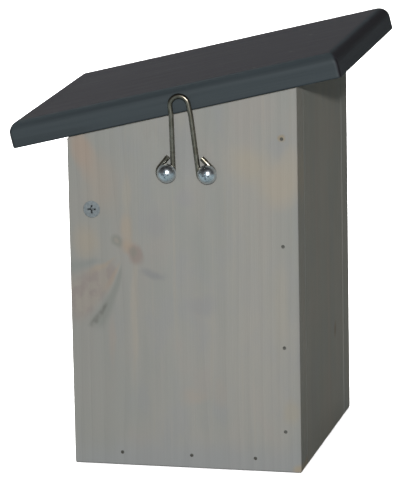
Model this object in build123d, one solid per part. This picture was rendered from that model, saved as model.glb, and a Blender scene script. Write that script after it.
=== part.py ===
from build123d import *
import math
import os

# A wooden nest box for small birds, in millimetres. +Z is up, the entrance faces -Y and the wire hanger
# is on the +Y side. The roof falls towards +X, where the side panel is a door that swings on two screws.
# The origin is the middle of the floor's underside.

# Body
WIDTH = 135.0
DEPTH = 145.0
BOARD = 18.0
FLOOR_THICKNESS = 15.0
LOW_HEIGHT = 193.6
ARRIS = 0.4

# Roof
PITCH = 13.58
ROOF_THICKNESS = 15.0
LOW_OVERHANG = 34.0
HIGH_OVERHANG = 26.5
FRONT_OVERHANG = 17.5
BACK_SETBACK = 1.2
TOP_ROUND = 6.5
CORNER_ROUND = 2.5
UNDER_ROUND = 1.0

# Entrance and drain holes
ENTRANCE_RADIUS = 16.0
ENTRANCE_HEIGHT = 150.0
ENTRANCE_EASE = 1.5
DRAIN_RADIUS = 2.5
DRAIN_INSET = 14.0

# Door and its pivot
PIVOT_INSET = 13.6
PIVOT_HEIGHT = 152.0
DOOR_SIDE_GAP = 0.75
DOOR_TOP_GAP = 3.0
DOOR_FOOT_GAP = 1.0
RUNNING_GAP = 0.08

# Countersunk screws that the door turns on
PIVOT_HEAD_RADIUS = 4.9
PIVOT_SHANK_RADIUS = 2.2
PIVOT_LENGTH = 46.0
PIVOT_LAND = 0.4
PIVOT_POINT = 5.0
PIVOT_SINK = 0.2

# Dome-headed screws that hold the hanger
DOME_RADIUS = 5.6
DOME_HEIGHT = 4.2
DOME_LAND = 0.4
DOME_SHANK_RADIUS = 1.8
DOME_LENGTH = 20.0
DOME_POINT = 4.0
SCREW_X = (8.3, -15.5)
SCREW_HEIGHT = 175.2

# Cross recess of both kinds of screw
RECESS_SPAN = 5.0
RECESS_ROOT = 1.6
RECESS_WIDTH = 1.1
RECESS_DEPTH = 2.3

# Wire hanger, a hairpin with an eye at each foot
WIRE_RADIUS = 1.45
LOOP_CENTRE = (0.4, 214.7)
LOOP_RADIUS = 5.4
EYE_RADIUS = 4.5
EYE_SHIFT = 0.8
EYE_RISE = 0.4
DOOR_BEND = (5.2, 208.6)
WALL_BEND = (-6.3, 209.0)
BEND_RADIUS = 30.0
TAIL_LENGTH = 8.0
DOOR_TAIL_ANGLE = 39.0
WALL_TAIL_ANGLE = 135.0

# Turning hook that locks the door
HOOK_RADIUS = 1.5
HOOK_HEIGHT = 20.0
HOOK_BEND = 2.5
HOOK_STANDOFF = 0.8
HOOK_ARM = 14.5
HOOK_SHANK = 17.0
HOOK_POINT = 4.0

# Nails
NAIL_RADIUS = 0.8
NAIL_HEAD_RADIUS = 1.05
NAIL_HEAD = 0.5
NAIL_LENGTH = 40.0
NAIL_POINT = 2.5
NAIL_SINK = 0.3
SIDE_NAIL_HEIGHTS = (24.2, 74.1, 133.8, 196.4)
FLOOR_NAIL_X = (39.0, -2.5, -40.4)
FLOOR_NAIL_HEIGHT = 7.4
ROOF_NAIL_X = (48.0, 0.0, -45.0)
ROOF_SIDE_NAIL_Y = (-28.0, 28.0)

half_width = WIDTH / 2
half_depth = DEPTH / 2
inner_x = half_width - BOARD
inner_y = half_depth - BOARD
side_centre = half_width - BOARD / 2
board_centre = half_depth - BOARD / 2
pivot_x = half_width - PIVOT_INSET
slope = math.tan(math.radians(PITCH))
wire_y = half_depth + WIRE_RADIUS


def underside(x):
    """Height of the roof's underside above the base at x."""
    return LOW_HEIGHT + (half_width - x) * slope


def turned(points):
    """Solid of revolution about Z, from a closed outline of (radius, height) points."""
    return revolve(Plane.XZ * make_face(Polyline(*points, close=True)), Axis.Z)


def facing_back(x, z, sink):
    """Frame of a fastener driven into the back face, its own +Z pointing out of the wood."""
    return Location((x, half_depth - sink, z), (-90, 0, 0))


def facing_front(x, z, sink):
    """Frame of a fastener driven into the front face."""
    return Location((x, sink - half_depth, z), (90, 0, 0))


def on_roof(x, y):
    """Frame of a fastener driven square into the roof's top, with its head flush."""
    top = Vector(x, y, underside(x)) + roof_normal() * ROOF_THICKNESS
    return Location(top, (0, PITCH, 0))


def roof_normal():
    """Unit vector out of the roof's top."""
    angle = math.radians(PITCH)
    return Vector(math.sin(angle), 0, math.cos(angle))


# Fasteners, each along -Z with the middle of its head's outer rim plane at the origin


def nail():
    """Wire brad with a small head."""
    return turned(
        [
            (0, 0),
            (NAIL_HEAD_RADIUS, 0),
            (NAIL_HEAD_RADIUS, -NAIL_HEAD),
            (NAIL_RADIUS, -2 * NAIL_HEAD),
            (NAIL_RADIUS, NAIL_POINT - NAIL_LENGTH),
            (0, -NAIL_LENGTH),
        ]
    )


def nail_hole():
    """What one nail takes out of the wood, with the small pit over its sunk head."""
    pit = Cylinder(NAIL_HEAD_RADIUS, 1.0, align=(Align.CENTER, Align.CENTER, Align.MIN))
    return nail() + pit


def cross_recess(top):
    """Four-winged driver recess cut down from the height top."""
    outline = [
        (-RECESS_SPAN / 2, top),
        (RECESS_SPAN / 2, top),
        (RECESS_ROOT / 2, top - RECESS_DEPTH),
        (-RECESS_ROOT / 2, top - RECESS_DEPTH),
    ]
    face = Plane.XZ * make_face(Polyline(*outline, close=True))
    wing = extrude(face, RECESS_WIDTH / 2, both=True)
    return wing + Rot(0, 0, 90) * wing


def pivot_body(gap):
    """Countersunk screw without its recess, all its radii larger by gap."""
    cone_end = PIVOT_LAND + PIVOT_HEAD_RADIUS - PIVOT_SHANK_RADIUS
    return turned(
        [
            (0, 0),
            (PIVOT_HEAD_RADIUS + gap, 0),
            (PIVOT_HEAD_RADIUS + gap, -PIVOT_LAND),
            (PIVOT_SHANK_RADIUS + gap, -cone_end),
            (PIVOT_SHANK_RADIUS + gap, PIVOT_POINT - PIVOT_LENGTH),
            (0, -PIVOT_LENGTH),
        ]
    )


def pivot_screw():
    """Countersunk screw that the door turns on."""
    return pivot_body(0) - cross_recess(0)


def pivot_clearance():
    """Bore and countersink that a pivot screw turns in, open to the face above it."""
    mouth = Cylinder(
        PIVOT_HEAD_RADIUS + RUNNING_GAP, 1.0, align=(Align.CENTER, Align.CENTER, Align.MIN)
    )
    return pivot_body(RUNNING_GAP) + mouth


def dome_shank():
    """Shank and point of a dome-headed screw, its head's underside at the origin."""
    return turned(
        [
            (0, 0),
            (DOME_SHANK_RADIUS, 0),
            (DOME_SHANK_RADIUS, DOME_POINT - DOME_LENGTH),
            (0, -DOME_LENGTH),
        ]
    )


def dome_screw():
    """Dome-headed screw, its head's underside at the origin."""
    ball = (DOME_RADIUS**2 + DOME_HEIGHT**2) / (2 * DOME_HEIGHT)
    ball_centre = DOME_LAND + DOME_HEIGHT - ball
    cap = Pos(0, 0, ball_centre) * Sphere(ball)
    above = Pos(0, 0, DOME_LAND) * Cylinder(
        DOME_RADIUS, 2 * ball, align=(Align.CENTER, Align.CENTER, Align.MIN)
    )
    land = Cylinder(DOME_RADIUS, DOME_LAND, align=(Align.CENTER, Align.CENTER, Align.MIN))
    head = (cap & above) + land
    return head + dome_shank() - cross_recess(DOME_LAND + DOME_HEIGHT)


# Where the fasteners go

back_side_places = [facing_back(-side_centre, z, NAIL_SINK) for z in SIDE_NAIL_HEIGHTS]
back_floor_places = [facing_back(x, FLOOR_NAIL_HEIGHT, NAIL_SINK) for x in FLOOR_NAIL_X]
front_side_places = [facing_front(-side_centre, z, NAIL_SINK) for z in SIDE_NAIL_HEIGHTS]
front_floor_places = [facing_front(x, FLOOR_NAIL_HEIGHT, NAIL_SINK) for x in FLOOR_NAIL_X]
roof_end_places = [on_roof(x, y) for x in ROOF_NAIL_X for y in (-board_centre, board_centre)]
roof_side_places = [on_roof(-side_centre, y) for y in ROOF_SIDE_NAIL_Y]
roof_places = roof_end_places + roof_side_places
rear_pivot_place = facing_back(pivot_x, PIVOT_HEIGHT, PIVOT_SINK)
front_pivot_place = facing_front(pivot_x, PIVOT_HEIGHT, PIVOT_SINK)
dome_places = [facing_back(x, SCREW_HEIGHT, -2 * WIRE_RADIUS) for x in SCREW_X]


def holes(places):
    """The nail holes at these places."""
    return [place * nail_hole() for place in places]


# Boards


def sloped_board(x_low, x_high, y_low, y_high, z_low, top_gap):
    """Upright board whose top edge follows the roof, top_gap below it, with its arrises taken off."""
    outline = [
        (x_low, z_low),
        (x_high, z_low),
        (x_high, underside(x_high) - top_gap),
        (x_low, underside(x_low) - top_gap),
    ]
    face = Plane.XZ * make_face(Polyline(*outline, close=True))
    board = Pos(0, y_high, 0) * extrude(face, y_high - y_low)
    return chamfer(board.edges(), ARRIS)


def back_panel():
    """Board behind the chamber, nailed to the fixed side and the floor."""
    board = sloped_board(-half_width, half_width, inner_y, half_depth, 0, 0)
    board -= holes(back_side_places + back_floor_places + roof_end_places)
    board -= [place * dome_shank() for place in dome_places]
    return board - rear_pivot_place * pivot_clearance()


def front_panel():
    """Board with the round entrance, its outer rim eased."""
    board = sloped_board(-half_width, half_width, -half_depth, -inner_y, 0, 0)
    bore = Cylinder(ENTRANCE_RADIUS, 3 * BOARD)
    rim_radius = ENTRANCE_RADIUS + ENTRANCE_EASE
    rim = Pos(0, 0, -ENTRANCE_EASE) * Cone(
        ENTRANCE_RADIUS,
        rim_radius + ENTRANCE_EASE,
        2 * ENTRANCE_EASE,
        align=(Align.CENTER, Align.CENTER, Align.MIN),
    )
    board -= facing_front(0, ENTRANCE_HEIGHT, 0) * (bore + rim)
    board -= holes(front_side_places + front_floor_places + roof_end_places)
    board -= hook_hole()
    return board - front_pivot_place * pivot_clearance()


def fixed_side():
    """Side panel under the roof's high edge, between the front and back boards."""
    board = sloped_board(-half_width, -inner_x, -inner_y, inner_y, 0, 0)
    return board - holes(back_side_places + front_side_places + roof_side_places)


def side_door():
    """Side panel under the roof's low edge, hung on the two pivot screws."""
    reach = inner_y - DOOR_SIDE_GAP
    board = sloped_board(inner_x, half_width, -reach, reach, DOOR_FOOT_GAP, DOOR_TOP_GAP)
    board -= rear_pivot_place * pivot_body(0)
    return board - front_pivot_place * pivot_body(0)


def floor_panel():
    """Floor between the panels, with a drain hole near each corner. The closed door rests on its edge."""
    board = Box(
        2 * inner_x, 2 * inner_y, FLOOR_THICKNESS, align=(Align.CENTER, Align.CENTER, Align.MIN)
    )
    board = chamfer(board.edges(), ARRIS)
    drain_x = inner_x - DRAIN_INSET
    drain_y = inner_y - DRAIN_INSET
    for x in (-drain_x, drain_x):
        for y in (-drain_y, drain_y):
            board -= Pos(x, y, 0) * Cylinder(DRAIN_RADIUS, 3 * FLOOR_THICKNESS)
    return board - holes(back_floor_places + front_floor_places)


def roof_board():
    """Single sloping board, with every arris rounded and the upper ones most."""
    half_run = half_width / math.cos(math.radians(PITCH))
    low_end = half_run + LOW_OVERHANG
    high_end = half_run + HIGH_OVERHANG
    y_low = -half_depth - FRONT_OVERHANG
    y_high = half_depth - BACK_SETBACK
    board = Box(
        low_end + high_end,
        y_high - y_low,
        ROOF_THICKNESS,
        align=(Align.CENTER, Align.CENTER, Align.MIN),
    )
    board = fillet(board.edges().filter_by(Axis.Z), CORNER_ROUND)
    board = fillet(board.edges().group_by(Axis.Z)[-1], TOP_ROUND)
    board = fillet(board.edges().group_by(Axis.Z)[0], UNDER_ROUND)
    board = Pos((low_end - high_end) / 2, (y_low + y_high) / 2, 0) * board
    board = Location((0, 0, underside(0)), (0, PITCH, 0)) * board
    return board - holes(roof_places)


# Hanger and hook


def tangent_point(centre, radius, outside, side):
    """Where a line from a point outside touches a circle, on the side given by +1 or -1."""
    across = outside[0] - centre[0]
    up = outside[1] - centre[1]
    angle = math.atan2(up, across) + side * math.acos(radius / math.hypot(across, up))
    return (centre[0] + radius * math.cos(angle), centre[1] + radius * math.sin(angle))


def angle_of(centre, point):
    """Direction from centre to point, in degrees from 0 to 360."""
    return math.degrees(math.atan2(point[1] - centre[1], point[0] - centre[0])) % 360


def foot(screw_x, bend, side, tail_angle):
    """Lines of one leg, its eye round the screw and its tail, and where the leg meets the top loop."""
    eye = (screw_x + EYE_SHIFT, SCREW_HEIGHT + EYE_RISE)
    top = tangent_point(LOOP_CENTRE, LOOP_RADIUS, bend, side)
    touch = tangent_point(eye, EYE_RADIUS, bend, side)
    start = angle_of(eye, touch)
    sweep_angle = side * ((side * (tail_angle - start)) % 360)
    arc = CenterArc(eye, EYE_RADIUS, start, sweep_angle)
    leaving = math.radians(tail_angle)
    off = (
        eye[0] + EYE_RADIUS * math.cos(leaving),
        eye[1] + EYE_RADIUS * math.sin(leaving),
    )
    tip = (
        off[0] - side * TAIL_LENGTH * math.sin(leaving),
        off[1] + side * TAIL_LENGTH * math.cos(leaving),
    )
    leg = FilletPolyline(top, bend, touch, radius=BEND_RADIUS)
    return [leg, arc, Line(off, tip)], top


def wire_hanger():
    """Hairpin of round wire lying against the back panel, with an eye round each screw."""
    door_lines, door_top = foot(SCREW_X[0], DOOR_BEND, 1, DOOR_TAIL_ANGLE)
    wall_lines, wall_top = foot(SCREW_X[1], WALL_BEND, -1, WALL_TAIL_ANGLE)
    start = angle_of(LOOP_CENTRE, door_top)
    size = (angle_of(LOOP_CENTRE, wall_top) - start) % 360
    loop = CenterArc(LOOP_CENTRE, LOOP_RADIUS, start, size)
    lines = Curve() + [loop] + door_lines + wall_lines
    path = (Plane.XZ.offset(-wire_y) * lines).wire()
    return sweep(Plane(origin=path @ 0, z_dir=path % 0) * Circle(WIRE_RADIUS), path=path)


def hook_frame():
    """Frame at the front panel's edge on the door's side, its own +Z pointing out of the wood."""
    return Location((half_width, -board_centre, HOOK_HEIGHT), (0, 90, 0))


def latch_hook():
    """Square-bend screw hook, its arm hanging down clear of the door."""
    reach = HOOK_STANDOFF + HOOK_BEND
    path = FilletPolyline((0, -HOOK_SHANK), (0, reach), (HOOK_ARM, reach), radius=HOOK_BEND)
    path = (Plane.XZ * path).wire()
    rod = sweep(Plane(origin=path @ 0, z_dir=path % 0) * Circle(HOOK_RADIUS), path=path)
    point = Pos(0, 0, -HOOK_SHANK) * Cone(
        0.2, HOOK_RADIUS, HOOK_POINT, align=(Align.CENTER, Align.CENTER, Align.MAX)
    )
    return hook_frame() * (rod + point)


def hook_hole():
    """Blind bore that the hook turns in."""
    depth = HOOK_SHANK + HOOK_POINT + 1.0
    bore = Cylinder(
        HOOK_RADIUS + RUNNING_GAP, depth, align=(Align.CENTER, Align.CENTER, Align.MAX)
    )
    return hook_frame() * bore


def group(solid, places):
    """Copies of one fastener at several places, kept as separate solids."""
    return Compound(children=[place * solid for place in places])


os.makedirs("parts", exist_ok=True)
nodes = {
    "back_panel": back_panel(),
    "front_panel": front_panel(),
    "fixed_side": fixed_side(),
    "side_door": side_door(),
    "floor_panel": floor_panel(),
    "roof_board": roof_board(),
    "wire_hanger": wire_hanger(),
    "hanger_screws": group(dome_screw(), dome_places),
    "rear_pivot_screw": rear_pivot_place * pivot_screw(),
    "front_pivot_screw": front_pivot_place * pivot_screw(),
    "latch_hook": latch_hook(),
    "back_side_nails": group(nail(), back_side_places),
    "back_floor_nails": group(nail(), back_floor_places),
    "front_side_nails": group(nail(), front_side_places),
    "front_floor_nails": group(nail(), front_floor_places),
    "roof_nails": group(nail(), roof_places),
}
for name, shape in nodes.items():
    export_step(shape, f"parts/{name}.step")
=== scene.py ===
"""A wooden nest box with a stained roof board, seen from behind. Metres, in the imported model's frame."""

import math

import bpy
from mathutils import Matrix, Vector


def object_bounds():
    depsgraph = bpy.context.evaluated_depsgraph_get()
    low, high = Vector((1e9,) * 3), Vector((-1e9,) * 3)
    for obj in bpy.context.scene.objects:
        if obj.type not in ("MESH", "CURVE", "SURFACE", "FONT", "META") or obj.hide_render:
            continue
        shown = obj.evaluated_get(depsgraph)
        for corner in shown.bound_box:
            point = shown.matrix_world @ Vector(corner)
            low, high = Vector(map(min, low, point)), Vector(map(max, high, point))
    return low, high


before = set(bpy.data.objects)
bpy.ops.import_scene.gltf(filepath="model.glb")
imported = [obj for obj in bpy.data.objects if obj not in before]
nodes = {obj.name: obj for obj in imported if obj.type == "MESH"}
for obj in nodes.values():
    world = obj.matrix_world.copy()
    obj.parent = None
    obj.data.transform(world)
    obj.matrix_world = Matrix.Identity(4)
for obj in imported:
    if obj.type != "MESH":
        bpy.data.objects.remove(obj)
cad_low, cad_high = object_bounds()

MM = 0.001

# Camera, as angles round the object and a point it looks at
AZIMUTH = 193.46
ELEVATION = 13.12
ROLL = -1.09
DISTANCE = 2.1725
AIM = Vector((-0.01388, 0.0694, 0.13405))
SENSOR = 36.0
LENS = 281.27

# Roof pitch, falling towards +X
PITCH = math.radians(13.58)

# Lights: azimuth and elevation in degrees, distance and size, watts
KEY_PLACE = (193.3, 18.6, 3.6, 0.14)
KEY_WATTS = 115.5
FILL_PLACE = (40.0, 32.0, 2.0, 1.6)
FILL_WATTS = 60.0
FLOOR_SUN = 5.0
FLOOR_SUN_ANGLE = 90.0

# The studio's strength low down and overhead, as light and as seen in reflections
STUDIO_LIGHT = (0.0, 0.16)
STUDIO_GLOSS = (0.14, 0.03)

# Floor: half its width, its gap under the object, and its colour to the eye, as a bounce and in reflections
FLOOR_REACH = 60.0
FLOOR_GAP = 0.0002
FLOOR_SEEN = (0.95, 0.95, 0.95, 1)
FLOOR_BOUNCE = (0.074, 0.070, 0.064, 1)
FLOOR_GLOSS = (0.14, 0.168, 0.175, 1)


def direction(azimuth, elevation):
    """Unit vector from the object towards azimuth and elevation in degrees; 0 is the side of -Y."""
    around = math.radians(azimuth)
    up = math.radians(elevation)
    flat = math.cos(up)
    return Vector((math.sin(around) * flat, -math.cos(around) * flat, math.sin(up)))


def srgb(red, green, blue):
    """Linear colour with alpha of a display colour given from 0 to 255."""
    linear = [((c / 255 + 0.055) / 1.055) ** 2.4 for c in (red, green, blue)]
    return (*linear, 1.0)


# Camera, floor and light


def make_camera():
    """Long lens at the viewing angle, turned slightly about its own axis."""
    data = bpy.data.cameras.new("camera")
    data.sensor_width = SENSOR
    data.lens = LENS
    data.clip_end = 100.0
    camera = bpy.data.objects.new("camera", data)
    back = direction(AZIMUTH, ELEVATION)
    turn = (-back).to_track_quat("-Z", "Y").to_matrix() @ Matrix.Rotation(math.radians(ROLL), 3, "Z")
    camera.matrix_world = Matrix.Translation(AIM + back * DISTANCE) @ turn.to_4x4()
    bpy.context.scene.collection.objects.link(camera)
    bpy.context.scene.camera = camera


def area_light(name, azimuth, elevation, distance, size, watts, colour):
    """Square soft light that faces the object."""
    data = bpy.data.lights.new(name, "AREA")
    data.size = size
    data.energy = watts
    data.color = colour
    light = bpy.data.objects.new(name, data)
    away = direction(azimuth, elevation)
    light.matrix_world = (
        Matrix.Translation(AIM + away * distance) @ away.to_track_quat("Z", "Y").to_matrix().to_4x4()
    )
    bpy.context.scene.collection.objects.link(light)
    return light


class Graph:
    """Builds one material's shader nodes, taking sockets or plain values as inputs."""

    def __init__(self, name):
        self.material = bpy.data.materials.new(name)
        self.material.use_nodes = True
        self.tree = self.material.node_tree
        self.tree.nodes.clear()
        self.shader = self.add("ShaderNodeBsdfPrincipled")
        output = self.add("ShaderNodeOutputMaterial")
        self.tree.links.new(self.shader.outputs[0], output.inputs[0])

    def add(self, kind, inputs=None, **settings):
        node = self.tree.nodes.new(kind)
        for key, value in settings.items():
            setattr(node, key, value)
        for key, value in (inputs or {}).items():
            self.feed(node.inputs[key], value)
        return node

    def feed(self, socket, value):
        if isinstance(value, bpy.types.NodeSocket):
            self.tree.links.new(value, socket)
        else:
            socket.default_value = value

    def set(self, **values):
        """Sets the main shader's inputs; an underscore in a name stands for a space."""
        for key, value in values.items():
            self.feed(self.shader.inputs[key.replace("_", " ")], value)

    def math(self, operation, first, second=0.0):
        node = self.add("ShaderNodeMath", {0: first, 1: second}, operation=operation)
        return node.outputs[0]

    def vector(self, operation, first, second=(0, 0, 0)):
        node = self.add("ShaderNodeVectorMath", {0: first, 1: second}, operation=operation)
        return node.outputs["Value" if operation in ("LENGTH", "DOT_PRODUCT") else "Vector"]

    def mix(self, factor, first, second):
        node = self.add("ShaderNodeMix", {0: factor, 6: first, 7: second}, data_type="RGBA")
        return node.outputs[2]

    def shade(self, colour, amount):
        """Colour times a grey amount."""
        node = self.add(
            "ShaderNodeVectorMath", {0: colour, "Scale": amount}, operation="SCALE"
        )
        return node.outputs["Vector"]

    def over(self, colour, mask, strength, top):
        """Lays the top colour over a colour where the mask is, at a strength."""
        return self.mix(self.math("MULTIPLY", mask, strength), colour, top)

    def less(self, start, value, amount):
        """start - value * amount"""
        return self.math("SUBTRACT", start, self.math("MULTIPLY", value, amount))

    def vary(self, shade, value, amount):
        """Shade, moved up and down by a value that lies about a half."""
        swing = self.math("MULTIPLY", self.math("SUBTRACT", value, 0.5), amount)
        return self.math("ADD", shade, swing)

    def along(self, normal, axis):
        """How squarely a face looks along an axis, either way, from 0 to 1."""
        return self.math("ABSOLUTE", self.vector("DOT_PRODUCT", normal, axis))

    def ramp(self, value, low, high, start=0.0, end=1.0):
        """Smooth step of value from low to high, giving start to end."""
        node = self.add(
            "ShaderNodeMapRange",
            {0: value, 1: low, 2: high, 3: start, 4: end},
            interpolation_type="SMOOTHSTEP",
        )
        return node.outputs[0]

    def scaled(self, vector, x, y, z):
        return self.vector("MULTIPLY", vector, (x, y, z))

    def noise(self, vector, detail=2.0, roughness=0.5, distortion=0.0):
        node = self.add(
            "ShaderNodeTexNoise",
            {
                "Vector": vector,
                "Scale": 1.0,
                "Detail": detail,
                "Roughness": roughness,
                "Distortion": distortion,
            },
        )
        return node.outputs["Fac"]

    def bump(self, height, distance, strength=1.0):
        node = self.add(
            "ShaderNodeBump", {"Height": height, "Distance": distance, "Strength": strength}
        )
        return node.outputs["Normal"]

    def spot(self, point, centre, half, turn, soft):
        """Mask of a soft ellipse on an upright face: 1 inside, 0 outside. Millimetres and degrees."""
        node = self.add(
            "ShaderNodeMapping",
            {
                "Vector": point,
                "Location": (centre[0] * MM, 0, centre[1] * MM),
                "Rotation": (0, -math.radians(turn), 0),
                "Scale": (half[0] * MM, 10, half[1] * MM),
            },
            vector_type="TEXTURE",
        )
        reach = self.vector("LENGTH", node.outputs[0])
        return self.ramp(reach, 1 + soft, 1 - soft)

    def mixed(self, first, second):
        """Point halfway between two points."""
        return self.scaled(self.vector("ADD", first, second), 0.5, 0.5, 0.5)

    def band(self, value, low, high, soft):
        """1 where value lies between low and high, fading to 0 over soft on both sides."""
        return self.math(
            "MULTIPLY",
            self.ramp(value, low - soft, low + soft),
            self.ramp(value, high + soft, high - soft),
        )

    def all_of(self, *masks):
        product = masks[0]
        for mask in masks[1:]:
            product = self.math("MULTIPLY", product, mask)
        return product


def make_floor():
    """Pale floor that fills the view, bright to the eye and dimmer as a bounce."""
    mesh = bpy.data.meshes.new("floor")
    level = cad_low.z - FLOOR_GAP
    signs = ((-1, -1), (1, -1), (1, 1), (-1, 1))
    corners = [(x * FLOOR_REACH, y * FLOOR_REACH, level) for x, y in signs]
    mesh.from_pydata(corners, [], [(0, 1, 2, 3)])
    floor = bpy.data.objects.new("floor", mesh)
    bpy.context.scene.collection.objects.link(floor)
    g = Graph("pale_floor")
    path = g.add("ShaderNodeLightPath")
    bounce = g.mix(path.outputs["Is Glossy Ray"], FLOOR_BOUNCE, FLOOR_GLOSS)
    colour = g.mix(path.outputs["Is Camera Ray"], bounce, FLOOR_SEEN)
    g.set(Base_Color=colour, Roughness=0.9, Specular_IOR_Level=0.0)
    mesh.materials.append(g.material)
    return floor


def make_world():
    """White to the eye, a studio that brightens upwards as light and darkens upwards in reflections."""
    world = bpy.data.worlds.new("studio")
    bpy.context.scene.world = world
    world.use_nodes = True
    tree = world.node_tree
    tree.nodes.clear()
    place = tree.nodes.new("ShaderNodeTexCoord")
    split = tree.nodes.new("ShaderNodeSeparateXYZ")
    path = tree.nodes.new("ShaderNodeLightPath")
    tree.links.new(place.outputs["Generated"], split.inputs[0])

    def gradient(low, high):
        shades = tree.nodes.new("ShaderNodeMapRange")
        shades.inputs["From Min"].default_value = 0.0
        shades.inputs["From Max"].default_value = 0.7
        shades.inputs["To Min"].default_value = low
        shades.inputs["To Max"].default_value = high
        light = tree.nodes.new("ShaderNodeBackground")
        tree.links.new(split.outputs["Z"], shades.inputs["Value"])
        tree.links.new(shades.outputs[0], light.inputs["Strength"])
        return light.outputs[0]

    def choose(ray, when_false, when_true):
        mixer = tree.nodes.new("ShaderNodeMixShader")
        tree.links.new(path.outputs[ray], mixer.inputs[0])
        tree.links.new(when_false, mixer.inputs[1])
        tree.links.new(when_true, mixer.inputs[2])
        return mixer.outputs[0]

    seen = tree.nodes.new("ShaderNodeBackground")
    seen.inputs["Color"].default_value = (1, 1, 1, 1)
    lit = choose("Is Glossy Ray", gradient(*STUDIO_LIGHT), gradient(*STUDIO_GLOSS))
    output = tree.nodes.new("ShaderNodeOutputWorld")
    tree.links.new(choose("Is Camera Ray", lit, seen.outputs[0]), output.inputs[0])


def light_studio(floor):
    """A small hard key beside the camera, a soft light from the front and one for the floor alone."""
    area_light("key", *KEY_PLACE, KEY_WATTS, (1.0, 1.0, 1.0))
    fill = area_light("front_fill", *FILL_PLACE, FILL_WATTS, (1.0, 0.99, 0.98))
    fill.visible_glossy = False
    sun = bpy.data.lights.new("floor_light", "SUN")
    sun.energy = FLOOR_SUN
    sun.angle = math.radians(FLOOR_SUN_ANGLE)
    lamp = bpy.data.objects.new("floor_light", sun)
    bpy.context.scene.collection.objects.link(lamp)
    only = bpy.data.collections.new("floor_only")
    only.objects.link(floor)
    lamp.light_linking.receiver_collection = only


# Materials

# Painted shade: a warmer, slightly darker tint on faces turned to the side, standing in for the dimmer
# light they get
SIDE_SHADE_TINT = (0.99, 0.96, 0.895)

# Spacing of the growth rings, and the roof's pith beside its grain axis, in millimetres
PINE_RINGS = 3.4
ROOF_RINGS = 2.6
ROOF_PITH = (-209.0, -42.0)


def wood_space(g, turn):
    """The board's own coordinates and normal, turned so that the grain runs along Z, and the plain ones."""
    place = g.add("ShaderNodeTexCoord")
    if not turn:
        return place.outputs["Object"], place.outputs["Normal"], place.outputs["Object"]
    turned = g.add("ShaderNodeMapping", {"Vector": place.outputs["Object"], "Rotation": (0, turn, 0)})
    facing = g.add("ShaderNodeMapping", {"Vector": place.outputs["Normal"], "Rotation": (0, turn, 0)})
    return turned.outputs[0], facing.outputs[0], place.outputs["Object"]


def growth(g, space, pith, spacing, seed):
    """Late wood amount from 0 to 1, from growth rings about the pith at (x, y) in millimetres."""
    moved = g.vector("ADD", space, (seed * 3.7, seed * 1.9, seed * 0.83))
    wander = g.noise(g.scaled(moved, 14, 14, 2.5), 2.0)
    flat = g.vector("MULTIPLY", g.vector("SUBTRACT", space, (pith[0] * MM, pith[1] * MM, 0)), (1, 1, 0))
    reach = g.vector("LENGTH", flat)
    uneven = g.noise(g.scaled(moved, 75, 75, 2), 1.0)
    reach = g.math("ADD", reach, g.math("MULTIPLY", wander, 0.014))
    reach = g.math("ADD", reach, g.math("MULTIPLY", uneven, 0.005))
    rings = g.math("FRACT", g.math("DIVIDE", reach, spacing * MM))
    late = g.math("MULTIPLY", g.ramp(rings, 0.3, 0.93), g.ramp(rings, 1.0, 0.94))
    return late, moved


def spike_knot(g, point, colour, apex):
    """A branch cut along its length, fanning out from its apex down towards the board's edge at +X."""
    node = g.add(
        "ShaderNodeMapping",
        {"Vector": point, "Location": (apex[0] * MM, 0, apex[1] * MM), "Scale": (MM, MM, MM)},
        vector_type="TEXTURE",
    )
    split = g.add("ShaderNodeSeparateXYZ", {0: node.outputs[0]})
    across, up = split.outputs["X"], split.outputs["Z"]
    flat = g.vector("MULTIPLY", node.outputs[0], (1, 0, 1))
    reach = g.vector("LENGTH", flat)
    angle = g.math("MULTIPLY", g.math("ARCTAN2", up, across), 180 / math.pi)
    edge = g.math("ADD", g.math("MULTIPLY", reach, 0.3), -79.0)
    inner = g.math("SUBTRACT", angle, edge)
    between = g.all_of(g.ramp(inner, 1, 12), g.ramp(angle, -18, -38))
    fan = g.all_of(between, g.ramp(reach, 3, 14), g.ramp(reach, 56, 40))
    cloud = g.noise(g.scaled(point, 110, 110, 110), 3.0)
    flesh = g.mix(g.ramp(cloud, 0.42, 0.6), srgb(146, 139, 130), srgb(137, 127, 122))
    colour = g.over(colour, fan, 0.7, flesh)
    rim = g.math("MAXIMUM", g.band(inner, 5, 14, 5), g.band(angle, -34, -24, 5))
    rim = g.all_of(rim, g.band(reach, 8, 22, 7))
    colour = g.over(colour, rim, 0.45, srgb(155, 141, 123))
    upper = g.all_of(g.band(angle, -20, -12, 8), g.ramp(reach, 10, 20))
    colour = g.over(colour, upper, 0.8, srgb(125, 130, 128))
    lower = g.all_of(g.band(inner, -8, 2, 4), g.band(reach, 8, 46, 4))
    colour = g.over(colour, lower, 0.8, srgb(127, 130, 125))
    split_line = g.all_of(g.band(inner, -2.2, 1.2, 1.6), g.band(reach, 32, 47, 3))
    ragged = g.ramp(g.noise(g.scaled(point, 190, 190, 190), 1.0), 0.36, 0.6, 0.25, 0.85)
    return g.over(colour, split_line, ragged, srgb(101, 102, 97))


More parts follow.
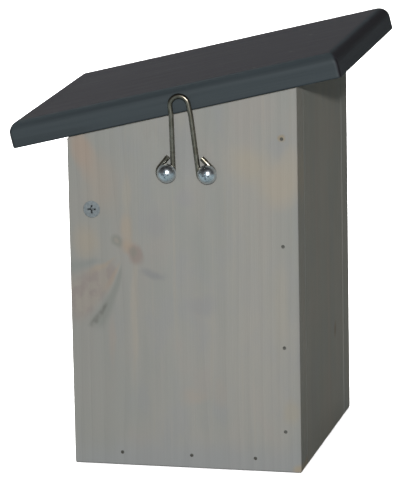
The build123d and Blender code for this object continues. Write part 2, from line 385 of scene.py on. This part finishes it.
def pine(name, pith, seed, turn=0.0, side_shade=(1, 1, 1), marks=(), spike=None, sideways=False, edge=0.0):
    """Grey-washed planed pine.

    Marks are placed by X and Z, or by Y and Z on a sideways board. The side tint is painted shade that
    makes faces looking along X warmer and a little darker, and edge is how much painted shade darkens the
    upright arrises, holding back the key light's bright line on them.
    """
    g = Graph(name)
    space, facing, place = wood_space(g, turn)
    late, moved = growth(g, space, pith, PINE_RINGS, seed)
    fibre = g.noise(g.scaled(moved, 1500, 1500, 22), 3.0, 0.6)
    streak = g.noise(g.scaled(moved, 260, 260, 5), 3.0, 0.6)
    blotch = g.noise(g.scaled(moved, 40, 40, 14), 3.0)
    tint = g.noise(g.scaled(moved, 60, 60, 32), 3.0)
    colour = g.mix(g.ramp(blotch, 0.3, 0.7), srgb(142, 144, 140), srgb(149, 148, 143))
    colour = g.mix(g.ramp(tint, 0.5, 0.7, 0.0, 0.45), colour, srgb(151, 146, 141))
    colour = g.mix(g.ramp(tint, 0.48, 0.3, 0.0, 0.45), colour, srgb(141, 143, 144))
    colour = g.mix(g.ramp(streak, 0.56, 0.78, 0.0, 0.5), colour, srgb(153, 148, 137))
    if sideways:
        axes = g.add("ShaderNodeSeparateXYZ", {0: place})
        across = {"X": axes.outputs["Y"], "Z": axes.outputs["Z"]}
        place = g.add("ShaderNodeCombineXYZ", across).outputs[0]
    wander = {"Vector": g.scaled(moved, 90, 90, 60), "Scale": 1.0, "Detail": 2.0}
    drift = g.add("ShaderNodeTexNoise", wander).outputs["Color"]
    drift = g.vector("SUBTRACT", drift, (0.5, 0.5, 0.5))
    point = g.vector("ADD", place, g.scaled(drift, 0.004, 0, 0.008))
    for centre, half, angle, soft, strength, mark_colour in marks:
        colour = g.over(colour, g.spot(point, centre, half, angle, soft), strength, srgb(*mark_colour))
    if spike:
        colour = spike_knot(g, g.mixed(point, place), colour, spike)
    shade = g.less(1.0, late, 0.03)
    shade = g.vary(shade, fibre, 0.10)
    shade = g.vary(shade, streak, 0.06)
    # Painted shade: upright chamfers facing along Y are darkened by edge, holding back the bright line the
    # key light draws on them
    arris = g.along(facing, (0, 1, 0))
    arris = g.all_of(g.ramp(arris, 0.25, 0.5), g.ramp(arris, 0.97, 0.85))
    shade = g.math("MULTIPLY", shade, g.less(1.0, arris, edge))
    colour = g.shade(colour, shade)
    # Painted shade: faces that look along X take the side tint, warmer and a little darker, standing in for
    # the light on the sides
    sidelong = g.ramp(g.along(facing, (1, 0, 0)), 0.75, 0.95)
    colour = g.mix(sidelong, colour, g.scaled(colour, *side_shade))
    ends = g.ramp(g.along(facing, (0, 0, 1)), 0.75, 0.95)
    colour = g.mix(ends, colour, g.shade(srgb(149, 143, 132)[:3], g.less(0.9, late, 0.2)))
    height = g.math("ADD", g.math("MULTIPLY", late, 0.5), fibre)
    g.set(
        Base_Color=colour,
        Roughness=g.ramp(fibre, 0.2, 0.8, 0.58, 0.74),
        Specular_IOR_Level=0.3,
        Normal=g.bump(height, 0.00014, 0.5),
    )
    return g.material


def roof_stain():
    """Anthracite stain on pine: grain shows faintly, the top carries a painted sheen that makes it lighter
    and more neutral, and the arrises are darker.
    """
    g = Graph("anthracite_stain")
    space, facing, _ = wood_space(g, -math.pi / 2 - PITCH)
    late, moved = growth(g, space, ROOF_PITH, ROOF_RINGS, 5.0)
    fibre = g.noise(g.scaled(moved, 1300, 1300, 18), 3.0, 0.6)
    streak = g.noise(g.scaled(moved, 190, 190, 4), 3.0, 0.6)
    colour = g.mix(g.ramp(streak, 0.3, 0.7), srgb(50, 58, 62), srgb(56, 64, 68))
    shade = g.vary(g.less(1.02, late, 0.09), fibre, 0.22)
    colour = g.shade(colour, shade)
    normal = g.add("ShaderNodeTexCoord").outputs["Normal"]
    up = g.vector("DOT_PRODUCT", normal, (math.sin(PITCH), 0, math.cos(PITCH)))
    # Painted reflection: the upward-facing top gets a lighter, more neutral colour, standing in for the
    # grazing sheen of the bright surroundings
    sheen_top = g.ramp(up, 0.93, 0.995)
    colour = g.over(colour, sheen_top, 0.8, g.shade(srgb(57, 55, 58)[:3], shade))
    arris = g.all_of(g.ramp(up, 0.15, 0.5), g.ramp(up, 0.97, 0.8))
    colour = g.shade(colour, g.less(1.0, arris, 0.05))
    ends = g.ramp(g.along(facing, (0, 0, 1)), 0.25, 0.75)
    colour = g.mix(ends, colour, g.shade(srgb(47, 46, 51)[:3], g.less(1.0, late, 0.65)))
    height = g.math("ADD", g.math("MULTIPLY", late, 0.25), fibre)
    g.set(
        Base_Color=colour,
        Roughness=g.ramp(fibre, 0.2, 0.8, 0.48, 0.64),
        Specular_IOR_Level=0.25,
        Normal=g.bump(height, 0.0002, 0.6),
    )
    return g.material


def metal(name, light, dark, rough, blotch_scale, scratch):
    """Metal with cloudy variation and fine scratches."""
    g = Graph(name)
    place = g.add("ShaderNodeTexCoord").outputs["Object"]
    cloud = g.noise(g.scaled(place, blotch_scale, blotch_scale, blotch_scale), 4.0, 0.6)
    marks = g.noise(g.scaled(place, *scratch), 3.0, 0.7)
    wear = g.math("ADD", g.math("MULTIPLY", cloud, 0.6), g.math("MULTIPLY", marks, 0.4))
    g.set(
        Base_Color=g.mix(g.ramp(cloud, 0.35, 0.65), light, dark),
        Metallic=1.0,
        Roughness=g.ramp(wear, 0.3, 0.7, *rough),
        Normal=g.bump(marks, 0.00004, 0.5),
    )
    return g.material


def dress(node, material):
    """Gives a CAD node's object one material in every slot."""
    mesh = nodes[node].data
    mesh.materials.clear()
    mesh.materials.append(material)


BACK_MARKS = [
    # centre, half sizes, turn, softness, strength, colour
    # Painted shade: this broad first mark darkens the back towards +X, the side away from the key light
    ((95.0, 90.0), (62.0, 190.0), 0, 0.5, 0.6, (134, 136, 132)),
    ((-10.0, -6.0), (100.0, 20.0), 0, 0.4, 0.7, (141, 144, 145)),
    ((-42.0, 105.0), (20.0, 75.0), 0, 0.7, 0.45, (154, 152, 145)),
    ((58.5, 186.0), (5.5, 14.0), -16, 0.6, 0.8, (155, 140, 127)),
    ((48.0, 168.0), (9.0, 15.0), -10, 0.7, 0.65, (151, 143, 133)),
    ((57.6, 132.5), (6.5, 8.5), 0, 0.7, 0.65, (153, 145, 131)),
    ((33.5, 142.0), (3.2, 9.0), 0, 0.6, 0.7, (155, 145, 131)),
    ((32.6, 162.0), (2.6, 9.0), 3, 0.5, 0.5, (154, 149, 138)),
    ((29.5, 92.0), (1.9, 34.0), 1, 0.6, 0.6, (154, 149, 139)),
    ((43.5, 76.0), (2.0, 12.0), 0, 0.6, 0.5, (150, 142, 134)),
    ((-40.0, 181.0), (11.0, 9.0), 15, 0.7, 0.75, (157, 151, 138)),
    ((-58.0, 170.0), (11.0, 13.0), 35, 0.6, 0.7, (160, 152, 138)),
    ((-64.0, 182.0), (5.0, 9.0), 0, 0.5, 0.6, (156, 151, 140)),
    ((-57.0, 100.0), (4.0, 24.0), 0, 0.6, 0.5, (156, 152, 142)),
    ((-62.5, 36.0), (4.5, 8.0), 0, 0.6, 0.6, (151, 146, 133)),
    ((-5.2, 43.0), (7.0, 4.0), 0, 0.7, 0.5, (154, 146, 137)),
    ((-19.9, 45.0), (4.0, 8.0), 0, 0.6, 0.4, (152, 146, 139)),
    ((-10.7, 97.8), (8.0, 5.0), -15, 0.6, 0.6, (139, 140, 141)),
    ((16.4, 145.5), (6.0, 8.0), 0, 0.6, 0.5, (139, 139, 140)),
    ((-1.6, 160.8), (5.0, 5.0), 0, 0.6, 0.45, (141, 141, 143)),
    ((39.7, 133.8), (3.4, 3.2), 0, 0.5, 0.7, (124, 126, 119)),
    ((39.7, 133.8), (1.5, 1.4), 0, 0.5, 0.7, (142, 138, 130)),
    ((33.0, 131.5), (3.4, 3.6), 0, 0.7, 0.6, (156, 140, 122)),
    ((28.6, 126.2), (3.9, 6.6), -25, 0.45, 0.75, (136, 124, 118)),
    ((30.0, 128.0), (1.9, 3.6), -25, 0.6, 0.7, (129, 128, 120)),
    ((18.6, 114.7), (6.0, 2.4), 4, 0.7, 0.6, (126, 128, 130)),
    ((-58.4, 196.2), (2.1, 2.0), 0, 0.5, 0.65, (146, 132, 104)),
    ((-65.8, 2.0), (3.4, 2.8), 0, 0.6, 0.6, (158, 143, 116)),
]

FRONT_MARKS = [
    ((38.0, 92.0), (5.0, 6.5), 20, 0.3, 0.8, (138, 128, 119)),
    ((38.0, 92.0), (2.6, 3.6), 20, 0.4, 0.7, (121, 116, 108)),
    ((38.5, 112.0), (4.0, 16.0), 0, 0.6, 0.6, (155, 146, 133)),
    ((38.0, 70.0), (4.5, 18.0), 2, 0.6, 0.6, (154, 145, 133)),
    ((-44.0, 178.0), (3.2, 3.8), 0, 0.3, 0.8, (129, 125, 117)),
    ((-44.0, 178.0), (1.5, 1.8), 0, 0.4, 0.7, (146, 139, 128)),
    ((-42.0, 152.0), (4.0, 24.0), 3, 0.6, 0.55, (155, 149, 137)),
    ((-20.0, 60.0), (6.0, 30.0), -2, 0.6, 0.45, (153, 147, 138)),
    ((15.0, 30.0), (16.0, 12.0), 10, 0.6, 0.5, (139, 141, 142)),
    ((-55.0, 70.0), (8.0, 18.0), 0, 0.6, 0.5, (141, 142, 142)),
    ((55.0, 190.0), (12.0, 14.0), 0, 0.6, 0.5, (152, 144, 134)),
    ((0.0, -4.0), (100.0, 18.0), 0, 0.4, 0.6, (140, 142, 142)),
]

DOOR_MARKS = [
    ((-18.0, 128.0), (4.2, 6.0), 12, 0.3, 0.8, (137, 127, 118)),
    ((-18.0, 128.0), (2.2, 3.2), 12, 0.4, 0.7, (120, 115, 107)),
    ((-17.0, 150.0), (3.5, 18.0), 0, 0.6, 0.6, (155, 146, 133)),
    ((-18.0, 104.0), (4.0, 20.0), -2, 0.6, 0.6, (154, 146, 135)),
    ((30.0, 50.0), (6.0, 26.0), 2, 0.6, 0.5, (153, 147, 137)),
    ((22.0, 158.0), (10.0, 16.0), 0, 0.6, 0.5, (140, 141, 142)),
    ((-35.0, 40.0), (10.0, 16.0), 0, 0.6, 0.5, (141, 142, 142)),
]

SIDE_MARKS = [
    ((20.0, 150.0), (3.0, 60.0), 1, 0.7, 0.5, (153, 145, 140)),
    ((-12.0, 70.0), (3.5, 60.0), -1, 0.7, 0.5, (153, 146, 140)),
    ((-30.0, 60.0), (3.4, 4.6), 0, 0.3, 0.7, (138, 129, 120)),
    ((-30.0, 60.0), (1.7, 2.5), 0, 0.4, 0.7, (124, 119, 111)),
    ((36.0, 40.0), (8.0, 30.0), 0, 0.6, 0.5, (142, 143, 142)),
]


# The object

make_camera()
floor = make_floor()
make_world()
light_studio(floor)

back = pine("pine_back", (8.0, -10.0), 1.0, side_shade=SIDE_SHADE_TINT, marks=BACK_MARKS, spike=(36.0, 126.0))
front = pine("pine_front", (-20.0, 20.0), 2.0, side_shade=SIDE_SHADE_TINT, marks=FRONT_MARKS)
side = pine("pine_fixed_side", (10.0, 14.0), 3.0, side_shade=SIDE_SHADE_TINT, marks=SIDE_MARKS, sideways=True, edge=0.5)
door = pine("pine_door", (-10.0, -20.0), 4.0, marks=DOOR_MARKS, sideways=True)
base = pine("pine_floor", (60.0, 10.0), 6.0, turn=-math.pi / 2)

FINE = (900, 900, 900)
DRAWN = (2500, 2500, 120)
zinc = metal("bright_zinc", (0.68, 0.73, 0.77, 1), (0.58, 0.64, 0.68, 1), (0.24, 0.32), 350, FINE)
aged = metal("aged_zinc", (0.33, 0.35, 0.36, 1), (0.23, 0.25, 0.26, 1), (0.42, 0.55), 500, FINE)
wire = metal("steel_wire", (0.26, 0.24, 0.20, 1), (0.15, 0.135, 0.105, 1), (0.24, 0.34), 260, DRAWN)
dark = metal("nail_steel", (0.17, 0.165, 0.15, 1), (0.09, 0.085, 0.075, 1), (0.45, 0.6), 500, FINE)

FINISHES = {
    "back_panel": back,
    "front_panel": front,
    "fixed_side": side,
    "side_door": door,
    "floor_panel": base,
    "roof_board": roof_stain(),
    "hanger_screws": zinc,
    "latch_hook": zinc,
    "rear_pivot_screw": aged,
    "front_pivot_screw": aged,
    "wire_hanger": wire,
    "back_side_nails": dark,
    "back_floor_nails": dark,
    "front_side_nails": dark,
    "front_floor_nails": dark,
    "roof_nails": dark,
}
for node_name, finish in FINISHES.items():
    dress(node_name, finish)

bpy.context.scene.view_settings.view_transform = "Standard"
